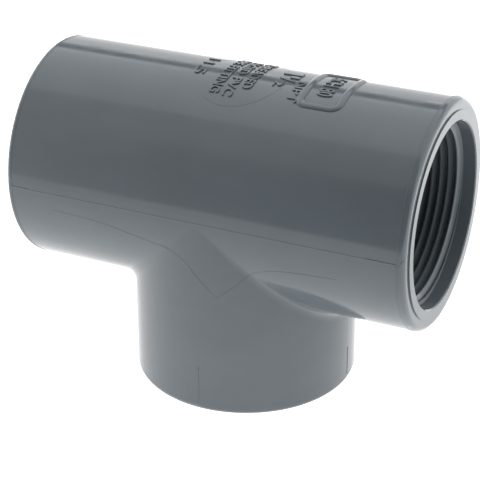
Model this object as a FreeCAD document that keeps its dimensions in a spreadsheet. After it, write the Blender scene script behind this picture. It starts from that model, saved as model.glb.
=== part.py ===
import FreeCAD, Part, Sketcher
import os

# Schedule 80 PVC tee, nominal size 1 1/2, with a female NPT thread in each of its three ends.
# It is one moulding. Millimetres and degrees, +Z up. The run lies along X, the branch points
# down along -Z, and the origin is where the axes of the run and the branch cross.

# alias, plain number, what it is
SIZES = [
    ("outer_radius", "30.16", "outside of the run"),
    ("branch_radius", "30.11", "outside of the branch, a hair less so that it meets the run in one loop"),
    ("centre_to_end", "55.56", "from the origin to each end face"),
    ("ring_radius", "27.00", "outside of the flat ring round each mouth"),
    ("ring_height", "0.35", "how far that ring stands proud of the rim outside it"),
    ("rim_fillet", "1.60", "rounding of the outer edge of the right end and of the branch end"),
    ("left_rim_fillet", "0.80", "rounding of the outer edge of the left end, which is sharper"),
    ("crotch_fillet", "3.50", "blend where the branch leaves the run"),
    ("mouth_radius", "24.20", "plain counterbore at each mouth"),
    ("mouth_chamfer", "0.30", "chamfer on the edge of that counterbore"),
    ("mouth_depth", "3.55", "from the end face to the foot of the counterbore"),
    ("cone_depth", "0.96", "length of the entry cone from there to the thread crests"),
    ("minor_radius", "22.40", "over the thread crests where the entry cone ends"),
    ("thread_floor", "23.40", "from the end face to the end of the threaded bore"),
    ("waterway_radius", "20.50", "passage beyond the threads"),
    ("waterway_overlap", "2.00", "how far each passage is cut past the origin"),
    ("pitch", "2.2087", "11.5 threads to the inch"),
    ("taper", "1.7899", "half angle of the 1 in 16 taper"),
    ("flank", "30", "half angle of the thread form"),
    ("thread_height", "1.58", "from crest to root"),
    ("root_flat", "0.14", "width of the flat at the root"),
    ("first_groove", "0.95", "from the end face to the start of the helix, on the +Z side"),
    ("thread_depth", "20.30", "length of the helix along its axis"),
    ("cut_margin", "1.00", "how far a cutter runs into open space"),
    ("least_cut", "1500", "the smallest volume that any one socket or thread takes away, in mm3"),
    ("right_end", "0", "turn of each end's cuts in the XZ plane, from the +X axis"),
    ("branch_end", "-90", "the same, for the branch"),
    ("left_end", "180", "the same, for the other end of the run"),
]

# The threaded bore narrows inwards by this much for each millimetre along its axis.
SLOPE = "tan(Sizes.taper * 1 deg)"
CONE_FOOT = "(Sizes.centre_to_end - Sizes.mouth_depth - Sizes.cone_depth)"
FLOOR = "(Sizes.centre_to_end - Sizes.thread_floor)"
FLOOR_RADIUS = f"(Sizes.minor_radius - ({CONE_FOOT} - {FLOOR}) * {SLOPE})"
GROOVE = "(Sizes.centre_to_end - Sizes.first_groove)"
CREST = f"(Sizes.minor_radius + ({GROOVE} - {CONE_FOOT}) * {SLOPE})"
HALF_GROOVE = "(Sizes.root_flat / 2 + Sizes.thread_height * tan(Sizes.flank * 1 deg))"

RUN_OUTLINE = [
    ("-Sizes.centre_to_end", "0"),
    ("Sizes.centre_to_end", "0"),
    ("Sizes.centre_to_end", "Sizes.ring_radius"),
    ("Sizes.centre_to_end - Sizes.ring_height", "Sizes.ring_radius"),
    ("Sizes.centre_to_end - Sizes.ring_height", "Sizes.outer_radius"),
    ("Sizes.ring_height - Sizes.centre_to_end", "Sizes.outer_radius"),
    ("Sizes.ring_height - Sizes.centre_to_end", "Sizes.ring_radius"),
    ("-Sizes.centre_to_end", "Sizes.ring_radius"),
]

BRANCH_OUTLINE = [
    ("0", "0"),
    ("0", "-Sizes.centre_to_end"),
    ("Sizes.ring_radius", "-Sizes.centre_to_end"),
    ("Sizes.ring_radius", "Sizes.ring_height - Sizes.centre_to_end"),
    ("Sizes.branch_radius", "Sizes.ring_height - Sizes.centre_to_end"),
    ("Sizes.branch_radius", "0"),
]

# From the origin outwards: waterway, tapered bore, entry cone, counterbore, chamfer.
SOCKET_OUTLINE = [
    ("-Sizes.waterway_overlap", "0"),
    ("-Sizes.waterway_overlap", "Sizes.waterway_radius"),
    (f"{FLOOR} - {FLOOR_RADIUS} + Sizes.waterway_radius", "Sizes.waterway_radius"),
    (FLOOR, FLOOR_RADIUS),
    (CONE_FOOT, "Sizes.minor_radius"),
    ("Sizes.centre_to_end - Sizes.mouth_depth", "Sizes.mouth_radius"),
    ("Sizes.centre_to_end - Sizes.mouth_chamfer", "Sizes.mouth_radius"),
    ("Sizes.centre_to_end + Sizes.cut_margin", "Sizes.mouth_radius + Sizes.mouth_chamfer + Sizes.cut_margin"),
    ("Sizes.centre_to_end + Sizes.cut_margin", "0"),
]

# A V with a narrow root; its straight neck reaches into the open bore.
THREAD_OUTLINE = [
    (f"{GROOVE} - Sizes.root_flat / 2", f"{CREST} + Sizes.thread_height"),
    (f"{GROOVE} + Sizes.root_flat / 2", f"{CREST} + Sizes.thread_height"),
    (f"{GROOVE} + {HALF_GROOVE}", CREST),
    (f"{GROOVE} + {HALF_GROOVE}", f"{CREST} - Sizes.cut_margin"),
    (f"{GROOVE} - {HALF_GROOVE}", f"{CREST} - Sizes.cut_margin"),
    (f"{GROOVE} - {HALF_GROOVE}", CREST),
]

doc = FreeCAD.newDocument("threaded_tee")
sheet = doc.addObject("Spreadsheet::Sheet", "Sizes")
for row, (alias, number, meaning) in enumerate(SIZES, start=1):
    sheet.set(f"A{row}", meaning)
    sheet.set(f"B{row}", number)
    sheet.setAlias(f"B{row}", alias)
doc.recompute()


def origin_plane(body, role):
    """The body's own origin plane that has this role."""
    return next(item for item in body.Origin.OriginFeatures if item.Role == role)


def value_of(expression):
    """What an expression of the sheet comes to, as a plain number."""
    result = sheet.evalExpression(expression)
    return float(getattr(result, "Value", result))


def outline(body, label, corners, turn="0"):
    """A closed sketch of straight sides on the body's XZ plane, turned in that plane.

    Each corner is a pair of expressions: its place along the sketch's first axis and its second.
    """
    sketch = body.newObject("Sketcher::SketchObject", label)
    sketch.AttachmentSupport = (origin_plane(body, "XZ_Plane"), [""])
    sketch.MapMode = "FlatFace"
    sketch.setExpression("AttachmentOffset.Rotation.Angle", turn)
    points = [FreeCAD.Vector(value_of(along), value_of(up), 0) for along, up in corners]
    following = points[1:] + points[:1]
    for start, end in zip(points, following):
        sketch.addGeometry(Part.LineSegment(start, end), False)
    for side, (along, up) in enumerate(corners):
        side_before = (side - 1) % len(corners)
        sketch.addConstraint(Sketcher.Constraint("Coincident", side_before, 2, side, 1))
        across_x = sketch.addConstraint(Sketcher.Constraint("DistanceX", -1, 1, side, 1, points[side].x))
        across_z = sketch.addConstraint(Sketcher.Constraint("DistanceY", -1, 1, side, 1, points[side].y))
        sketch.setExpression(f"Constraints[{across_x}]", along)
        sketch.setExpression(f"Constraints[{across_z}]", up)
    return sketch


def turned(body, kind, label, corners, axis, turn="0"):
    """A full turn of an outline about an axis of its own sketch."""
    sketch = outline(body, f"{label}_outline", corners, turn)
    feature = body.newObject(kind, label)
    feature.Profile = sketch
    feature.ReferenceAxis = (sketch, [axis])
    feature.Angle = 360
    doc.recompute()
    return feature


def rounded(body, label, base, wanted, radius):
    """A fillet on every edge of the base feature that passes a test."""
    names = [f"Edge{number}" for number, edge in enumerate(base.Shape.Edges, start=1) if wanted(edge)]
    feature = body.newObject("PartDesign::Fillet", label)
    feature.Base = (base, names)
    feature.setExpression("Radius", radius)
    doc.recompute()
    return feature


def is_crotch(edge):
    """The loop where the outside of the branch meets the outside of the run."""
    return edge.Curve.TypeId == "Part::GeomBSplineCurve"


def is_rim(edge):
    """A circle at the outer edge of an end face."""
    return edge.Curve.TypeId == "Part::GeomCircle" and edge.Curve.Radius > sheet.ring_radius + 1


def is_left_rim(edge):
    """The rim at the -X end of the run."""
    return is_rim(edge) and edge.CenterOfMass.x < -sheet.outer_radius


def is_other_rim(edge):
    """The rim at the +X end of the run or at the foot of the branch."""
    return is_rim(edge) and not is_left_rim(edge)


def threaded_groove(body, label, turn):
    """The helical groove of a right-hand tapered thread, from outside the face inwards."""
    sketch = outline(body, f"{label}_outline", THREAD_OUTLINE, turn)
    feature = body.newObject("PartDesign::SubtractiveHelix", label)
    feature.Profile = sketch
    feature.ReferenceAxis = (sketch, ["H_Axis"])
    feature.Mode = "pitch-height-angle"
    feature.LeftHanded = False
    feature.Reversed = True
    feature.setExpression("Pitch", "Sizes.pitch")
    feature.setExpression("Height", "Sizes.thread_depth")
    feature.setExpression("Angle", "-Sizes.taper")
    doc.recompute()
    return feature


def tee_body():
    """The whole moulding: solid outside first, then the same threaded socket in each end."""
    body = doc.addObject("PartDesign::Body", "tee_body")
    body.Label = "tee_body"
    body.Placement = FreeCAD.Placement()
    turned(body, "PartDesign::Revolution", "run", RUN_OUTLINE, "H_Axis")
    branch = turned(body, "PartDesign::Revolution", "branch", BRANCH_OUTLINE, "V_Axis")
    crotch = rounded(body, "crotch_blend", branch, is_crotch, "Sizes.crotch_fillet")
    rims = rounded(body, "rim_rounding", crotch, is_other_rim, "Sizes.rim_fillet")
    rounded(body, "left_rim_rounding", rims, is_left_rim, "Sizes.left_rim_fillet")
    for end in ("right_end", "branch_end", "left_end"):
        turned(body, "PartDesign::Groove", f"{end}_socket", SOCKET_OUTLINE, "H_Axis", f"Sizes.{end}")
        threaded_groove(body, f"{end}_thread", f"Sizes.{end}")
    return body


def check(parts):
    """Stop before anything is written if a feature failed, a cut missed or a shape is unsound."""
    for item in doc.Objects:
        if "Invalid" in item.State or "Error" in item.State:
            raise RuntimeError(f"{item.Label} failed: {item.State}")
        if item.TypeId in ("PartDesign::Groove", "PartDesign::SubtractiveHelix"):
            taken = item.BaseFeature.Shape.Volume - item.Shape.Volume
            if taken < sheet.least_cut:
                raise RuntimeError(f"{item.Label} took away only {taken:.0f} mm3")
    for part in parts:
        if part.Shape.isNull() or not part.Shape.isValid() or len(part.Shape.Solids) != 1:
            raise RuntimeError(f"{part.Label} is not one sound solid")


parts = [tee_body()]
doc.recompute()
check(parts)
os.makedirs("parts", exist_ok=True)
for part in parts:
    part.Shape.exportStep(f"parts/{part.Label}.step")
    print(part.Label, "volume", round(part.Shape.Volume), "mm3")
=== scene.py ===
import bmesh
import bpy
import math
from mathutils import Matrix, Vector
from mathutils.bvhtree import BVHTree


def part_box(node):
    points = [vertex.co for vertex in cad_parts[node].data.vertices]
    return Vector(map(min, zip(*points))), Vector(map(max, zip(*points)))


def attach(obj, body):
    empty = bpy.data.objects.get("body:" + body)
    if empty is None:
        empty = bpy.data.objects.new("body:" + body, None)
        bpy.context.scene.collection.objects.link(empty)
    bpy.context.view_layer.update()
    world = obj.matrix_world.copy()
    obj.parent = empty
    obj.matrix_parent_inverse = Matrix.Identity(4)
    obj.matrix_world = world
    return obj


# A grey PVC tee with female pipe threads, 111 mm along its run. The run lies on X, the branch hangs
# along -Z and the origin is where their axes cross. Metres.

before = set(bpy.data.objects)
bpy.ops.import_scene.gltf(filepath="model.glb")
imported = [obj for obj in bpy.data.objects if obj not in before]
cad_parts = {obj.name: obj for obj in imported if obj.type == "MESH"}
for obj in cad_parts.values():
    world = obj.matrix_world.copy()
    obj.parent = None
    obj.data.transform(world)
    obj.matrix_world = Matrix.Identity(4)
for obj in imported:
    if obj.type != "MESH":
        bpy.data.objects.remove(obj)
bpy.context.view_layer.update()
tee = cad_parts["tee_body"]
low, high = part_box("tee_body")
MM = 0.001

# ---- camera ---------------------------------------------------------------------------------------
# Where the camera stands as seen from the origin, and how far it is then shifted in its own plane.
VIEW_AZIMUTH = math.radians(25.227)
VIEW_ELEVATION = math.radians(26.851)
VIEW_ROLL = math.radians(-0.255)
VIEW_DISTANCE = 0.43120
AIM_RIGHT = -0.001644
AIM_UP = -0.016594
LENS = 122.174
SENSOR = 36.0


def camera():
    """A long lens in front, to the right and above, aimed a little under the crossing of the axes."""
    back = Vector((
        math.sin(VIEW_AZIMUTH) * math.cos(VIEW_ELEVATION),
        -math.cos(VIEW_AZIMUTH) * math.cos(VIEW_ELEVATION),
        math.sin(VIEW_ELEVATION),
    ))
    level = Vector((math.cos(VIEW_AZIMUTH), math.sin(VIEW_AZIMUTH), 0))
    upright = back.cross(level)
    right = math.cos(VIEW_ROLL) * level + math.sin(VIEW_ROLL) * upright
    up = back.cross(right)
    data = bpy.data.cameras.new("camera")
    data.lens = LENS
    data.sensor_width = SENSOR
    data.clip_start = 0.01
    eye = bpy.data.objects.new("camera", data)
    eye.matrix_world = Matrix((right, up, back)).transposed().to_4x4()
    eye.location = AIM_RIGHT * right + AIM_UP * up + VIEW_DISTANCE * back
    bpy.context.scene.collection.objects.link(eye)
    bpy.context.scene.camera = eye


# ---- material -------------------------------------------------------------------------------------
def link(tree, kind, inputs, **settings):
    """A new node with its settings, and its inputs set to values or linked to other nodes' outputs."""
    node = tree.nodes.new(kind)
    for name, value in settings.items():
        setattr(node, name, value)
    for name, value in inputs.items():
        if isinstance(value, bpy.types.NodeSocket):
            tree.links.new(value, node.inputs[name])
        else:
            node.inputs[name].default_value = value
    return node


def ramp(tree, source, stops):
    """A colour ramp over a value: pairs of (place, grey or colour)."""
    node = link(tree, "ShaderNodeValToRGB", {"Fac": source})
    elements = node.color_ramp.elements
    while len(elements) < len(stops):
        elements.new(0.5)
    for element, (place, colour) in zip(elements, stops):
        element.position = place
        element.color = (*colour, 1) if isinstance(colour, tuple) else (colour, colour, colour, 1)
    return node.outputs["Color"]


def noise(tree, where, scale, detail=2.0, rough=0.5, stretch=(1, 1, 1)):
    """Noise over the object's own coordinates; scale is in cycles to the metre."""
    spread = link(tree, "ShaderNodeMapping", {"Vector": where, "Scale": stretch})
    node = link(tree, "ShaderNodeTexNoise",
                {"Vector": spread.outputs[0], "Scale": scale, "Detail": detail, "Roughness": rough})
    return node.outputs["Fac"]


PVC_DARK = (0.103, 0.122, 0.137)
PVC_LIGHT = (0.122, 0.144, 0.162)
DUST = (0.17, 0.18, 0.19)
PVC_IOR = 1.5
GLOSSIEST, DULLEST = 0.08, 0.18
WAVE_HEIGHT, PEEL_HEIGHT = 0.12 * MM, 0.006 * MM


def pvc(name):
    """Grey rigid PVC as moulded: cloudy flow marks, orange peel, and a gloss that comes and goes."""
    material = bpy.data.materials.new(name)
    material.use_nodes = True
    tree = material.node_tree
    shader = tree.nodes["Principled BSDF"]
    shader.inputs["IOR"].default_value = PVC_IOR
    where = tree.nodes.new("ShaderNodeTexCoord").outputs["Object"]

    clouds = noise(tree, where, 38, detail=4, rough=0.55)
    streaks = noise(tree, where, 90, detail=3, rough=0.6, stretch=(0.25, 1, 1))
    tone = link(tree, "ShaderNodeMath", {0: clouds, 1: 0.62}, operation="MULTIPLY").outputs[0]
    tone = link(tree, "ShaderNodeMath", {0: streaks, 1: 0.38, 2: tone}, operation="MULTIPLY_ADD").outputs[0]
    colour = ramp(tree, tone, ((0.30, PVC_DARK), (0.70, PVC_LIGHT)))
    specks = noise(tree, where, 1300, detail=1)
    dust = ramp(tree, specks, ((0.80, 0.0), (0.86, 1.0)))
    dusty = link(tree, "ShaderNodeMix", {0: dust, 6: colour, 7: (*DUST, 1)}, data_type="RGBA")
    tree.links.new(dusty.outputs[2], shader.inputs["Base Color"])

    rubbed = noise(tree, where, 240, detail=5, rough=0.6)
    gloss = link(tree, "ShaderNodeMapRange", {"Value": rubbed, "From Min": 0.3, "From Max": 0.7,
                                              "To Min": GLOSSIEST, "To Max": DULLEST})
    tree.links.new(gloss.outputs[0], shader.inputs["Roughness"])

    wave = noise(tree, where, 55, detail=1, stretch=(0.6, 1, 1))
    fine = noise(tree, where, 700, detail=2, rough=0.5)
    broad = link(tree, "ShaderNodeBump", {"Height": wave, "Strength": 1.0, "Distance": WAVE_HEIGHT})
    peel = link(tree, "ShaderNodeBump", {"Height": fine, "Strength": 1.0, "Distance": PEEL_HEIGHT,
                                         "Normal": broad.outputs[0]})
    tree.links.new(peel.outputs[0], shader.inputs["Normal"])
    return material


# ---- relief ---------------------------------------------------------------------------------------
# Angles round the run are counted from its front, -Y, upwards; angles round the branch from its
# front, -Y, towards +X.
RUN = high.z
SUNK = 0.08 * MM
# A ray that looks for the surface starts this far from the axes, clear of the tee.
OUTSIDE = 0.2
surface = BVHTree.FromObject(tee, bpy.context.evaluated_depsgraph_get())


def on_run(x, angle, lift=0.0):
    """A point on or above the outside of the run, and the outward direction there."""
    out = Vector((0, -math.cos(angle), math.sin(angle)))
    return Vector((x, 0, 0)) + out * (RUN + lift), out


def landed(start, direction):
    """Where a ray from outside first meets the tee, and the outward direction there."""
    point, out, _face, _length = surface.ray_cast(Vector(start), Vector(direction))
    return point, out


def from_front(x, z):
    """The front of the tee at this x and z."""
    return landed((x, -OUTSIDE, z), (0, 1, 0))


def piece(name, mesh, material):
    """A new object that rides with the tee and takes the finish of its slot."""
    mesh.materials.clear()
    mesh.materials.append(material)
    item = bpy.data.objects.new(name, mesh)
    bpy.context.scene.collection.objects.link(item)
    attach(item, "root")
    return item


# Across a ridge: place along its width, and height as a share of the whole. A flash line is a small
# step: a slope on one side and an edge on the other. Only the rounded section is shaded smooth.
RIDGE = ((-0.42, 0.35), (-0.2, 0.92), (0, 1), (0.2, 0.92), (0.42, 0.35))
STEP = ((-0.45, 0.05), (0.3, 1), (0.46, 0.8))


def ridge(grid, stations, closed=False, profile=RIDGE):
    """Adds a low ridge to a bmesh. Each station is (point, outward direction, width, height)."""
    count = len(stations)
    rings = []
    for i, (point, out, width, height) in enumerate(stations):
        before = stations[i - 1 if closed or i else 0][0]
        after = stations[(i + 1) % count if closed or i + 1 < count else i][0]
        across = out.cross(after - before).normalized()
        section = [(-0.5, -SUNK), *((side, share * height) for side, share in profile), (0.5, -SUNK)]
        rings.append([grid.verts.new(point + across * side * width + out * lift)
                      for side, lift in section])
    for i in range(count if closed else count - 1):
        here, there = rings[i], rings[(i + 1) % count]
        for k in range(len(here)):
            j = (k + 1) % len(here)
            grid.faces.new((here[k], here[j], there[j], there[k]))
    if not closed:
        grid.faces.new(rings[0][::-1])
        grid.faces.new(rings[-1])


def finished(grid, name, material, smooth=True):
    """The bmesh as a closed piece."""
    bmesh.ops.recalc_face_normals(grid, faces=grid.faces)
    mesh = bpy.data.meshes.new(name)
    grid.to_mesh(mesh)
    grid.free()
    mesh.polygons.foreach_set("use_smooth", [smooth] * len(mesh.polygons))
    return piece(name, mesh, material)


def ridges(name, material, lines, closed=False, profile=RIDGE):
    """One piece made of several ridges."""
    grid = bmesh.new()
    for stations in lines:
        ridge(grid, stations, closed, profile)
    return finished(grid, name, material, smooth=profile is RIDGE)


def steps(start, end, count):
    """Evenly spaced values from start to end."""
    return [start + (end - start) * k / (count - 1) for k in range(count)]


def smooth_line(places, spans=8):
    """A smooth line through a few places (Catmull-Rom)."""
    ends = [Vector(p) for p in (places[0], *places, places[-1])]
    line = []
    for p0, p1, p2, p3 in zip(ends, ends[1:], ends[2:], ends[3:]):
        for k in range(spans):
            t = k / spans
            line.append(0.5 * (2 * p1 + (p2 - p0) * t + (2 * p0 - 5 * p1 + 4 * p2 - p3) * t ** 2
                               + (3 * p1 - p0 - 3 * p2 + p3) * t ** 3))
    return [*line, ends[-1]]


# Text, foot and head of the letters along X in run radii, first and last angle in degrees.
MARKS = (
    ("11.5", -0.41, -0.31, 99, 79),
    ("PIPE FITTING", -0.165, -0.075, 107, 67),
    ("RIGID PVC", -0.04, 0.05, 105, 66),
    ("THREADED", 0.085, 0.175, 107, 73),
    ("1", 0.33, 0.50, 96.5, 93.0),
    ("1", 0.42, 0.50, 91.0, 88.8),
    ("/", 0.34, 0.49, 88.5, 84.5),
    ("2", 0.33, 0.41, 84.3, 79),
    ("NPT", 0.525, 0.61, 86, 69),
    ("SCH 80", 0.735, 0.875, 99, 77),
)
MARK_HEIGHT, MARK_BEVEL = 0.32 * MM, 0.12 * MM
# How far the strokes are thickened, in letter heights.
MARK_WEIGHT = 0.010


def flat_letters(text):
    """The letters as a flat-faced solid mesh, one unit high in Z from -0.5 to 0.5."""
    curve = bpy.data.curves.new("mark", "FONT")
    curve.body = text
    curve.offset = MARK_WEIGHT
    curve.resolution_u = 3
    curve.extrude = 0.5
    item = bpy.data.objects.new("mark", curve)
    bpy.context.scene.collection.objects.link(item)
    mesh = bpy.data.meshes.new_from_object(item.evaluated_get(bpy.context.evaluated_depsgraph_get()))
    bpy.data.objects.remove(item)
    bpy.data.curves.remove(curve)
    return mesh


def raised_marks(material):
    """Letters and figures moulded proud of the run. They read down its near side, tops to +X."""
    grid = bmesh.new()
    for text, foot, head, first, last in MARKS:
        flat = flat_letters(text)
        places = [v.co.copy() for v in flat.vertices]
        left, right = min(p.x for p in places), max(p.x for p in places)
        bottom, top = min(p.y for p in places), max(p.y for p in places)
        for v, p in zip(flat.vertices, places):
            turn = math.radians(first + (last - first) * (p.x - left) / (right - left))
            along = RUN * (foot + (head - foot) * (p.y - bottom) / (top - bottom))
            v.co = on_run(along, turn, MARK_HEIGHT if p.z > 0 else -SUNK)[0]
        grid.from_mesh(flat)
        bpy.data.meshes.remove(flat)
    bmesh.ops.remove_doubles(grid, verts=grid.verts, dist=0.002 * MM)
    item = finished(grid, "raised_marks", material, smooth=False)
    soften = item.modifiers.new("soft_edges", "BEVEL")
    soften.width = MARK_BEVEL
    soften.segments = 2
    soften.angle_limit = math.radians(50)


# The frame in run radii, both along X and round the run, with its two ends round the run as angles.
FRAME_FOOT, FRAME_HEAD = 0.63, 0.98
FRAME_FIRST, FRAME_LAST = math.radians(106), math.radians(69)
FRAME_CORNER, FRAME_WIDTH, FRAME_SPACING = 0.07, 0.075, 0.03
FRAME_HEIGHT = 0.50 * MM


def raised_frame(material):
    """A plain band round the last mark: a rectangle with round corners."""
    half_u = (FRAME_FIRST - FRAME_LAST) / 2 - FRAME_CORNER
    half_v = (FRAME_HEAD - FRAME_FOOT) / 2 - FRAME_CORNER
    corners = []
    for side_u, side_v, start in ((1, 1, 0), (-1, 1, 90), (-1, -1, 180), (1, -1, 270)):
        for turn in steps(start, start + 90, count=9):
            a = math.radians(turn)
            corners.append(Vector((side_u * half_u + FRAME_CORNER * math.cos(a),
                                   side_v * half_v + FRAME_CORNER * math.sin(a))))
    stations = []
    for here, there in zip(corners, corners[1:] + corners[:1]):
        pieces = max(1, round((there - here).length / FRAME_SPACING))
        for k in range(pieces):
            u, v = here.lerp(there, k / pieces)
            point, out = on_run(RUN * ((FRAME_HEAD + FRAME_FOOT) / 2 + v),
                                (FRAME_FIRST + FRAME_LAST) / 2 + u)
            stations.append((point, out, FRAME_WIDTH * RUN, FRAME_HEIGHT))
    ridges("raised_frame", material, [stations], closed=True)


# Where the mould's collars met its cavity, near each end of the run.
LEFT_LINE, RIGHT_LINE = -53.9 * MM, 53.3 * MM
COLLAR_WIDTH, COLLAR_HEIGHT = 0.24 * MM, 0.09 * MM


def witness_ring(x):
    """The fine ridge left where a collar met the cavity."""
    return [(*on_run(x, math.radians(a)), COLLAR_WIDTH, COLLAR_HEIGHT) for a in range(0, 360, 2)]


# The parting plane is turned a little about the run, so that its line is this far below the middle
# in front and above it at the back.
PARTING_DROP = 0.38 * MM
# The line's width and height where it is finest, and how much more it has where it is heaviest.
FLASH_WIDTH, FLASH_WIDER = 0.28 * MM, 0.06 * MM
FLASH_HEIGHT, FLASH_HIGHER = 0.05 * MM, 0.03 * MM
# The two heavier stretches: their lengths, and how far above the line they lie.
HEAVY_LEFT, HEAVY_RIGHT, HEAVY_RISE = 5 * MM, 8 * MM, 0.16 * MM
HEAVY_WIDTH, HEAVY_HEIGHT = 0.32 * MM, 0.16 * MM
# Upright marks on the branch: angle round it in degrees, and top. They share one foot.
BRANCH_MARKS = ((0, -42.2 * MM), (90, -44.6 * MM))
BRANCH_MARK_FOOT = -53.0 * MM
BRANCH_MARK_WIDTH, BRANCH_MARK_HEIGHT = 0.28 * MM, 0.12 * MM


def run_flash(side):
    """The mould's parting line on one side of the run: a hair-thin step that varies a little."""
    stations = []
    for x in steps(LEFT_LINE, RIGHT_LINE, count=170):
        wave = 0.5 + 0.5 * math.sin(x * 1700 + side) * math.sin(x * 611)
        point, out = landed((x, side * OUTSIDE, side * PARTING_DROP), (0, -side, 0))
        stations.append((point, out, FLASH_WIDTH + FLASH_WIDER * wave, FLASH_HEIGHT + FLASH_HIGHER * wave))
    return stations


def heavy_flash(start, end):
    """A stretch of heavier flash on the front, along the upper side of the parting line."""
    stations = []
    for x in steps(start, end, count=24):
        stations.append((*from_front(x, HEAVY_RISE - PARTING_DROP), HEAVY_WIDTH, HEAVY_HEIGHT))
    return stations


def branch_flash(angle, top):
    """A short upright flash mark near the foot of the branch."""
    outward = Vector((math.sin(angle), -math.cos(angle), 0))
    stations = []
    for z in steps(top, BRANCH_MARK_FOOT, count=16):
        point, out = landed(outward * OUTSIDE + Vector((0, 0, z)), -outward)
        stations.append((point, out, BRANCH_MARK_WIDTH, BRANCH_MARK_HEIGHT))
    return stations


# Lines on the front: x and z of a few of their points, in millimetres. The knit lines are where the
# two flows of plastic met. The burr is a curl at the right end of the parting line.
KNIT_LEFT = ((-41.6, -5.0), (-28.0, -5.8), (-15.4, -8.4), (-4.8, -10.9), (0.9, -16.1), (5.4, -20.5))
KNIT_RIGHT = ((5.4, -20.5), (10.0, -16.6), (15.3, -11.9), (23.8, -9.3), (37.4, -8.2))
KNIT_WIDTH, KNIT_HEIGHT = 0.16 * MM, 0.05 * MM
BURR = ((52.7, -0.3), (53.1, -0.8), (53.6, -0.8), (54.1, -0.2), (54.5, 0.5), (55.0, 0.9))
BURR_WIDTH, BURR_HEIGHT = 0.2 * MM, 0.09 * MM


def front_line(places, width, height):
    """A ridge along the front through these places."""
    return [(*from_front(x * MM, z * MM), width, height) for x, z in smooth_line(places)]


INSERT_X, INSERT_Y, INSERT_RADIUS = 0.6 * MM, -0.09 * RUN, 0.41 * RUN
INSERT_WIDTH, INSERT_HEIGHT = 0.2 * MM, 0.05 * MM


def insert_ring():
    """The edge of a round mould insert, on top of the run above the branch."""
    stations = []
    for a in steps(0, 2 * math.pi, count=121)[:-1]:
        start = (INSERT_X + INSERT_RADIUS * math.cos(a), INSERT_Y + INSERT_RADIUS * math.sin(a), OUTSIDE)
        stations.append((*landed(start, (0, 0, -1)), INSERT_WIDTH, INSERT_HEIGHT))
    return stations


# ---- camera, finish and pieces, in order ----------------------------------------------------------
camera()
grey = pvc("grey_pvc")
tee.data.materials.clear()
tee.data.materials.append(grey)
raised_marks(grey)
raised_frame(grey)
ridges("parting_flash", grey, [run_flash(-1), run_flash(1)], profile=STEP)
ridges("heavy_flash", grey, [heavy_flash(LEFT_LINE, LEFT_LINE + HEAVY_LEFT),
                             heavy_flash(RIGHT_LINE - HEAVY_RIGHT, RIGHT_LINE),
                             *(branch_flash(math.radians(turn), top) for turn, top in BRANCH_MARKS),
                             front_line(BURR, BURR_WIDTH, BURR_HEIGHT)])
ridges("collar_lines", grey, [witness_ring(LEFT_LINE), witness_ring(RIGHT_LINE)], closed=True)
ridges("knit_lines", grey, [front_line(KNIT_LEFT, KNIT_WIDTH, KNIT_HEIGHT),
                            front_line(KNIT_RIGHT, KNIT_WIDTH, KNIT_HEIGHT)])
ridges("insert_ring", grey, [insert_ring()], closed=True)

# ---- stage ----------------------------------------------------------------------------------------
# A light table inside a box of soft panels. The panels light the tee and show in its gloss, and the
# camera looks through them to a white surround.
# A glow is pairs of (place along an axis, strength). One number means the same strength all over.
FLOOR, FLOOR_REACH, FLOOR_WHITE = low.z, 3.0, 0.45
# The light table's glow dips just behind the tee, from Y 0.0 to 0.08: painted shade that stands in for the
# tee's shadow on the table.
FLOOR_GLOW = ((-FLOOR_REACH, 0.92), (-0.17, 0.92), (-0.11, 1.12), (-0.04, 1.3), (0.0, 1.2),
              (0.05, 0.95), (0.08, 1.0), (0.13, 1.5), (FLOOR_REACH, 1.4))
FRONT, BACK, SIDE, TOP = -0.237, 1.0, 1.2, 1.0
# The front panel is in two parts, one above the other. Both fade to the right.
FRONT_STEP = 0.22
FRONT_LOW_GLOW = ((-SIDE, 0.86), (-0.20, 0.86), (-0.09, 0.42), (-0.04, 0.24), (0.25, 0.0), (SIDE, 0.0))
FRONT_HIGH_GLOW = ((-SIDE, 0.88), (-0.20, 0.88), (-0.06, 0.57), (0.15, 0.55), (0.25, 0.3), (SIDE, 0.3))
# The bands of the back panel from the floor up: name, top, strength.
BACK_BANDS = (("backdrop", 0.51, 1.35), ("strip", 0.584, 2.2), ("dark_gap", 0.839, 0.15),
              ("high_strip", TOP, 1.8))
CEILING_GLOW = ((FRONT, 1.38), (0.1, 1.53), (BACK, 1.53))
LEFT_GLOW, RIGHT_GLOW = 1.8, 1.5
SURROUND = 1.0


def along(tree, axis, stops):
    """A strength that changes along a world axis: pairs of (place, strength)."""
    first, last = stops[0][0], stops[-1][0]
    most = max(strength for _place, strength in stops)
    geometry = tree.nodes.new("ShaderNodeNewGeometry")
    here = link(tree, "ShaderNodeSeparateXYZ", {0: geometry.outputs["Position"]})
    place = link(tree, "ShaderNodeMapRange",
                 {"Value": here.outputs[axis], "From Min": first, "From Max": last})
    share = ramp(tree, place.outputs[0],
                 [((stop - first) / (last - first), strength / most) for stop, strength in stops])
    return link(tree, "ShaderNodeMath", {0: share, 1: most}, operation="MULTIPLY").outputs[0]


def glow(name, axis, stops):
    """A lit panel's emission, changing along a world axis."""
    material = bpy.data.materials.new(name)
    material.use_nodes = True
    tree = material.node_tree
    tree.nodes.clear()
    light = link(tree, "ShaderNodeEmission", {"Strength": along(tree, axis, stops)})
    link(tree, "ShaderNodeOutputMaterial", {"Surface": light.outputs[0]})
    return material


def panel(name, corners, material, seen=False):
    """A flat four-sided piece of the set."""
    mesh = bpy.data.meshes.new(name)
    mesh.from_pydata(corners, [], [(0, 1, 2, 3)])
    mesh.materials.append(material)
    item = bpy.data.objects.new(name, mesh)
    item.visible_camera = seen
    bpy.context.scene.collection.objects.link(item)


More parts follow.
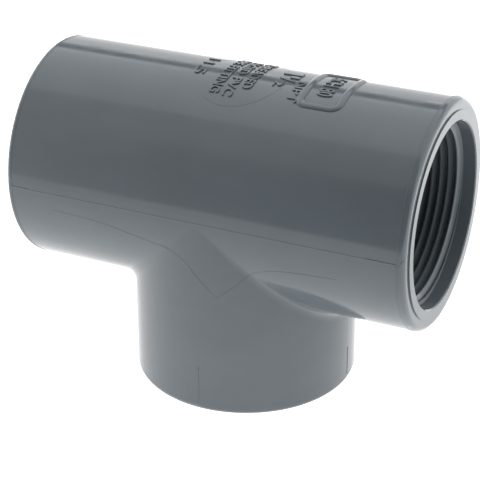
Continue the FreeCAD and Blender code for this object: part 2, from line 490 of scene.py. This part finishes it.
def opal():
    """The light table: white and glowing, more so at the back, with painted shade in its glow just behind
    the tee.
    """
    material = bpy.data.materials.new("light_table")
    material.use_nodes = True
    tree = material.node_tree
    shader = tree.nodes["Principled BSDF"]
    shader.inputs["Base Color"].default_value = (FLOOR_WHITE, FLOOR_WHITE, FLOOR_WHITE, 1)
    shader.inputs["Roughness"].default_value = 0.9
    shader.inputs["Emission Color"].default_value = (1, 1, 1, 1)
    tree.links.new(along(tree, "Y", FLOOR_GLOW), shader.inputs["Emission Strength"])
    return material


def crosswise(name, y, bottom, top, stops):
    """A panel that faces along Y, as wide as the set. Its strength changes along X."""
    corners = [(-SIDE, y, bottom), (SIDE, y, bottom), (SIDE, y, top), (-SIDE, y, top)]
    panel(name, corners, glow(name, "X", stops))


def studio():
    """Floor, panels and surround."""
    r = FLOOR_REACH
    panel("floor", [(-r, -r, FLOOR), (r, -r, FLOOR), (r, r, FLOOR), (-r, r, FLOOR)], opal(), seen=True)
    crosswise("front_low", FRONT, FLOOR, FRONT_STEP, FRONT_LOW_GLOW)
    crosswise("front_high", FRONT, FRONT_STEP, TOP, FRONT_HIGH_GLOW)
    bottom = FLOOR
    for name, top, strength in BACK_BANDS:
        crosswise(name, BACK, bottom, top, ((-SIDE, strength), (SIDE, strength)))
        bottom = top
    panel("ceiling", [(-SIDE, FRONT, TOP), (SIDE, FRONT, TOP), (SIDE, BACK, TOP), (-SIDE, BACK, TOP)],
          glow("ceiling", "Y", CEILING_GLOW))
    for name, x, strength in (("left_panel", -SIDE, LEFT_GLOW), ("right_panel", SIDE, RIGHT_GLOW)):
        panel(name, [(x, FRONT, FLOOR), (x, BACK, FLOOR), (x, BACK, TOP), (x, FRONT, TOP)],
              glow(name, "Y", ((FRONT, strength), (BACK, strength))))
    world = bpy.data.worlds.new("studio")
    world.use_nodes = True
    world.node_tree.nodes["Background"].inputs["Color"].default_value = (1, 1, 1, 1)
    world.node_tree.nodes["Background"].inputs["Strength"].default_value = SURROUND
    bpy.context.scene.world = world
    bpy.context.scene.view_settings.view_transform = "Standard"


studio()
